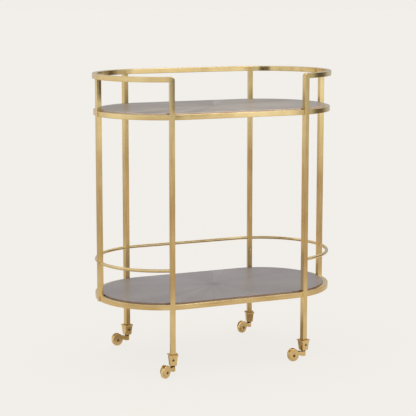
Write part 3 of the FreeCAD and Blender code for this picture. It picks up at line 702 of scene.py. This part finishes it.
def pale_floor():
    """Pale floor, even to the camera. The brass sees it with a painted shadow close by, and as walls far
    off.
    """
    bpy.ops.mesh.primitive_circle_add(vertices=FLOOR_SIDES, radius=FLOOR_RADIUS, fill_type="NGON")
    floor = bpy.context.object
    floor.name = "floor"
    material, tree = new_material("pale_floor")
    split = node(tree, "SeparateXYZ", Vector=node(tree, "TexCoord").outputs["Object"])
    x, y = split.outputs[0], split.outputs[1]
    far = reach(tree, x, y)
    ground = blended(tree, mapped(tree, far, *NEAR_ENDS, 0, 1), NEAR_FLOOR, FAR_FLOOR)
    # painted shadow of the trolley on the floor, which only reflections show
    past_straight = math_node(tree, "SUBTRACT", math_node(tree, "ABSOLUTE", x), HALF)
    out = reach(tree, math_node(tree, "MAXIMUM", past_straight, 0), y)
    ground = blended(tree, mapped(tree, out, *SHADE_ENDS, 0, 1), UNDER_TROLLEY_SHADOW, ground)
    around = blended(tree, mapped(tree, far, *WALLS_START, 0, 1), ground, room_light(tree, x, y))
    seen = node(tree, "LightPath").outputs["Is Camera Ray"]
    colour = blended(tree, seen, around, BACKGROUND)
    # the lamps add a little light near the trolley, so the floor's own glow is less there
    even = mapped(tree, far, *GLOW_ENDS, *FLOOR_GLOW)
    strength = math_node(tree, "MULTIPLY_ADD", seen, math_node(tree, "SUBTRACT", even, 1.0), 1.0)
    glow = node(tree, "Emission", Color=colour, Strength=strength)
    matt = node(tree, "BsdfDiffuse", Color=FLOOR_PAINT)
    both = node(tree, "AddShader", i0=glow.outputs[0], i1=matt.outputs[0])
    node(tree, "OutputMaterial", Surface=both.outputs[0])
    floor.data.materials.append(material)
    return floor


def studio_world():
    """Even pale backdrop to the camera, and the room's walls and ceiling to everything else."""
    world = bpy.data.worlds.new("studio")
    bpy.context.scene.world = world
    world.use_nodes = True
    tree = world.node_tree
    tree.nodes.clear()
    split = node(tree, "SeparateXYZ", Vector=node(tree, "TexCoord").outputs["Generated"])
    x, y, up = split.outputs
    walls = room_light(tree, x, y)
    walls = blended(tree, mapped(tree, up, *UPPER_WALLS_START, 0, 1), walls, UPPER_WALLS)
    walls = blended(tree, mapped(tree, up, *CEILING_START, 0, 1), walls, CEILING)
    seen = node(tree, "LightPath").outputs["Is Camera Ray"]
    glow = node(tree, "Background", Color=blended(tree, seen, walls, BACKGROUND), Strength=1.0)
    node(tree, "OutputWorld", Surface=glow.outputs[0])


def card(name, place, turn, size, colour):
    """Glowing or black card that only glossy surfaces see."""
    bpy.ops.mesh.primitive_plane_add(size=1, location=place, rotation=turn)
    face = bpy.context.object
    face.name = name
    face.scale = (*size, 1)
    material, tree = new_material(name + "_face")
    glow = node(tree, "Emission", Color=colour, Strength=1.0)
    node(tree, "OutputMaterial", Surface=glow.outputs[0])
    face.data.materials.append(material)
    for rays in ("camera", "diffuse", "shadow", "transmission"):
        setattr(face, "visible_" + rays, False)


def softbox(name, place, aim, size, watts, colour):
    """Lamp that lights the scene, but isn't mirrored: the brass mirrors the room instead."""
    light = bpy.data.lights.new(name, "AREA")
    light.shape = "RECTANGLE"
    light.size, light.size_y = size
    light.energy = watts
    light.color = colour
    lamp = bpy.data.objects.new(name, light)
    lamp.location = place
    lamp.rotation_euler = (Vector(aim) - Vector(place)).to_track_quat("-Z", "Y").to_euler()
    lamp.visible_glossy = False
    bpy.context.scene.collection.objects.link(lamp)
    return lamp


def spare(lamp, obj):
    """Keep a lamp's light off one object."""
    spared = bpy.data.collections.new("spared_by_" + lamp.name)
    spared.objects.link(obj)
    lamp.light_linking.receiver_collection = spared
    spared.collection_objects[0].light_linking.link_state = "EXCLUDE"


WARM_WHITE = (1.0, 0.98, 0.95)
OVERHEAD_WHITE = (1.0, 0.985, 0.96)
# just above the upper shelf, in front of the trolley: a black sheet seen only in reflections, for a painted
# dark reflection on the rail
DARK_REFLECTION_CARD = {
    "place": (-0.1, -0.5, rail_middle - 0.025),
    "turn": (QUARTER, 0, 0),
    "size": (0.26, 0.18),
    "colour": (0.03, 0.02, 0.01, 1),
}
# high in front: a glowing card seen only in reflections, for a painted highlight line along the upper ring
HIGHLIGHT_CARD = {
    "place": (0.55, -1.25, 2.9),
    "turn": (math.radians(32), 0, math.radians(24)),
    "size": (1.2, 1.1),
    "colour": (6, 5.8, 5.4, 1),
}
# place, the point it is aimed at, width and height, watts, colour
LAMPS = {
    "overhead": ((0.2, 0.4, 3.0), (0, 0, 0.5), (2.4, 1.8), 12, OVERHEAD_WHITE),
    "front": ((0.3, -4.0, 0.75), (0, 0, 0.6), (1.8, 0.8), 110, WARM_WHITE),
    "left": ((-3.0, -0.6, 1.6), (0, 0, 0.5), (1.6, 2.4), 22, WARM_WHITE),
    "right": ((3.0, -1.6, 1.4), (0, 0, 0.5), (1.4, 2.4), 18, WARM_WHITE),
}

floor = pale_floor()
studio_world()
card("dark_reflection_card", **DARK_REFLECTION_CARD)
card("highlight_card", **HIGHLIGHT_CARD)
lamps = {name: softbox(name, *values) for name, values in LAMPS.items()}
spare(lamps["front"], floor)  # it stands low, so it would leave a glare on the floor

CAMERA_PLACE = (-1.632, -3.716, 1.113)
CAMERA_TILT = math.radians(90 - 8.27)
CAMERA_TURN = math.radians(-23.48)
SENSOR_WIDTH = 36  # millimetres
LENS = 117.7875  # millimetres
LENS_SHIFT = -0.06

camera_data = bpy.data.cameras.new("camera")
camera_data.sensor_width = SENSOR_WIDTH
camera_data.lens = LENS
camera_data.shift_y = LENS_SHIFT
camera_data.clip_start, camera_data.clip_end = 0.1, 200
camera = bpy.data.objects.new("camera", camera_data)
camera.location = CAMERA_PLACE
camera.rotation_euler = (CAMERA_TILT, 0, CAMERA_TURN)
bpy.context.scene.collection.objects.link(camera)
bpy.context.scene.camera = camera
bpy.context.scene.view_settings.view_transform = "Standard"
